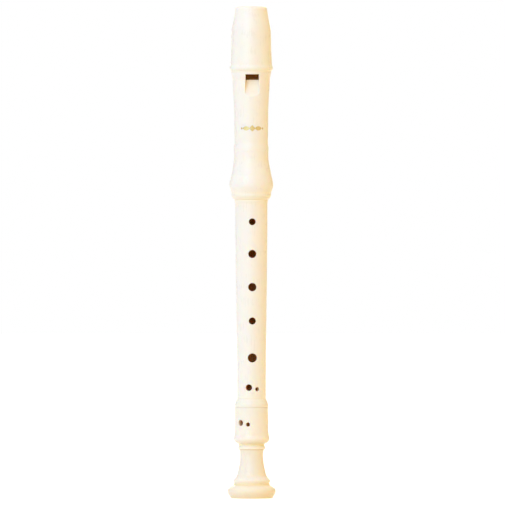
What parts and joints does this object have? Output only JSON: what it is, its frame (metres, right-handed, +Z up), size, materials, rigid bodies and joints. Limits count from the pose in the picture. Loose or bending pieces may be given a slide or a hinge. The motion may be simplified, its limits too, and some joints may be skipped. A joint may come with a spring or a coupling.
{
  "type": "soprano recorder",
  "caption": "Straight block flute in ivory plastic with a beak mouthpiece, a window and ramp, finger holes and a waisted foot bell, in sections that turn and pull apart.",
  "frame": {"origin": "centre of the foot's flat end face", "axes": "+Z runs up the bore to the beak, -Y is the side with the window and finger holes, +X is to the right of someone who looks at the finger holes"},
  "size_m": [0.0322, 0.0322, 0.328],
  "materials": {
    "ivory_plastic": "injection-moulded ABS in warm ivory, soft gloss, slightly translucent",
    "block_plastic": "ivory plastic, left satin inside the windway",
    "seal_rubber": "pale silicone rubber with a film of joint grease",
    "gold_foil": "hot-stamped gold foil, flush with the plastic"
  },
  "bodies": {
    "foot": {"foot_socket_ring": "ivory_plastic", "foot_body": "ivory_plastic", "foot_bell": "ivory_plastic"},
    "foot_seals": {"foot_seal": "seal_rubber"},
    "middle": {"middle_joint": "ivory_plastic"},
    "head_seals": {"head_seal_upper": "seal_rubber", "head_seal_lower": "seal_rubber"},
    "head": {"beak": "ivory_plastic", "block": "block_plastic", "head_barrel": "ivory_plastic", "head_socket_ring": "ivory_plastic"}
  },
  "joints": [
    {"name": "head_turn", "type": "hinge", "parent": "middle", "child": "head_seals", "pos_m": [0, 0, 0.1992], "axis": [0, 0, 1], "continuous": true},
    {"name": "head_pull", "type": "slide", "parent": "head_seals", "child": "head", "axis": [0, 0, 1], "range_m": [0, 0.03]},
    {"name": "foot_pull", "type": "slide", "parent": "foot", "child": "foot_seals", "axis": [0, 0, 1], "range_m": [0, 0.022]},
    {"name": "foot_turn", "type": "hinge", "parent": "foot_seals", "child": "middle", "pos_m": [0, 0, 0.0662], "axis": [0, 0, 1], "continuous": true}
  ]
}
